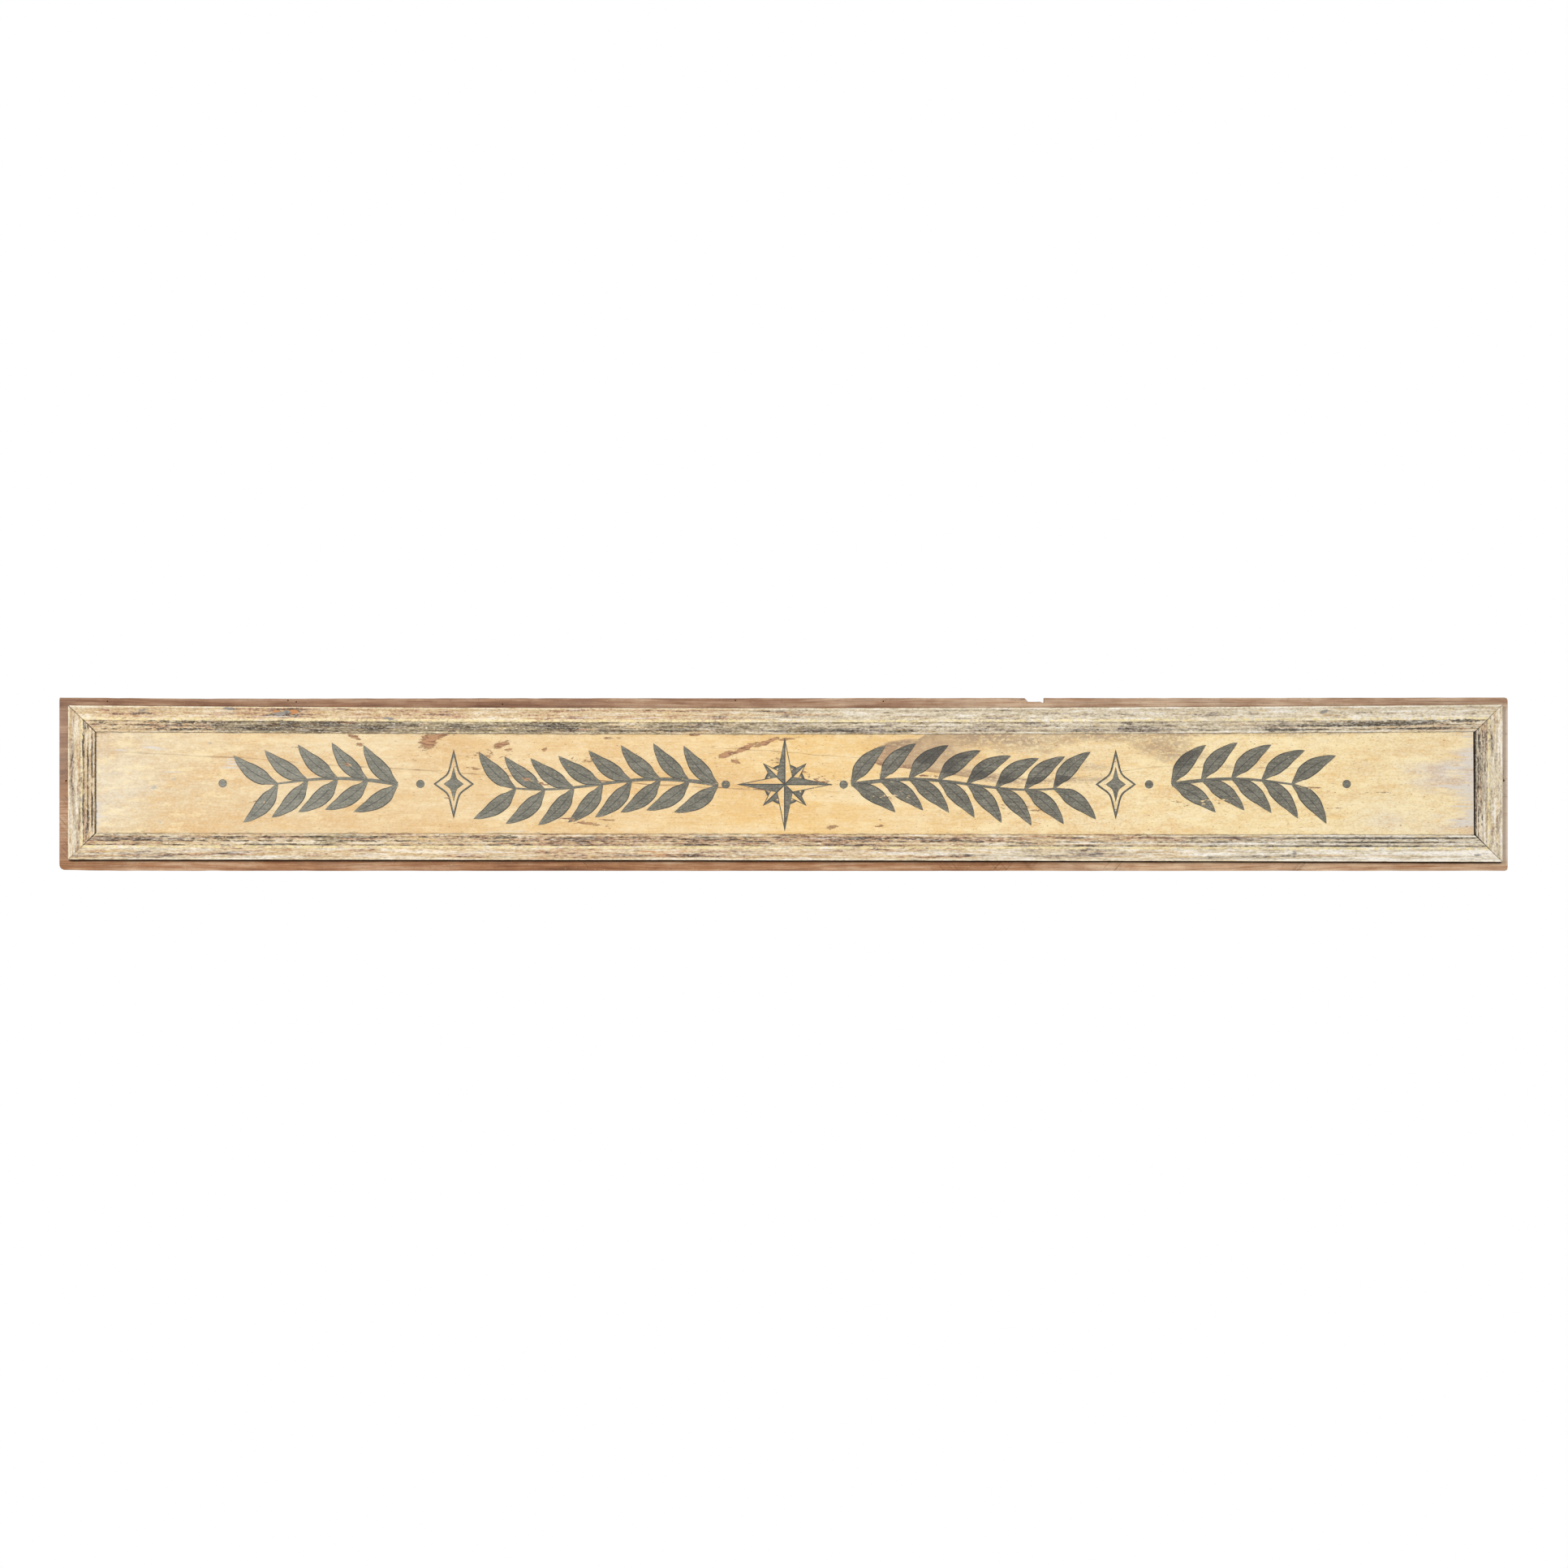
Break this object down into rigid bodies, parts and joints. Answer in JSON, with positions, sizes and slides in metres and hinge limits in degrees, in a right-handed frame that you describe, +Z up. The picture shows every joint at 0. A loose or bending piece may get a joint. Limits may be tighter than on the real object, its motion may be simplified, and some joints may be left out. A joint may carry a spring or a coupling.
{
  "type": "trade sign",
  "caption": "Long, low painted signboard: an ochre panel inside a reeded, mitred moulding, nailed to a wider bare backing board with a notch in its top edge.",
  "frame": {"origin": "the middle of the backing board's flat back face", "axes": "+X along the sign, to the right as it is read; +Z up; the painted front faces -Y and the back faces +Y"},
  "size_m": [2.438, 0.044, 0.292],
  "materials": {
    "bare_wood": "bare, weathered pine with saw marks",
    "ochre_paint": "old ochre oil paint on pine, crazed and chipped",
    "cream_paint": "old cream oil paint on pine, worn through along the reeds",
    "black_paint": "faded black sign paint",
    "rusty_steel": "rusted"
  },
  "bodies": {
    "root": {"backing_board": "bare_wood", "sign_panel": "ochre_paint", "moulding_top": "cream_paint", "moulding_bottom": "cream_paint", "moulding_left": "cream_paint", "moulding_right": "cream_paint", "moulding_top_nails": "rusty_steel", "moulding_bottom_nails": "rusty_steel", "moulding_left_nails": "rusty_steel", "moulding_right_nails": "rusty_steel", "mitre_nails": "rusty_steel", "panel_nails": "rusty_steel"}
  },
  "joints": []
}
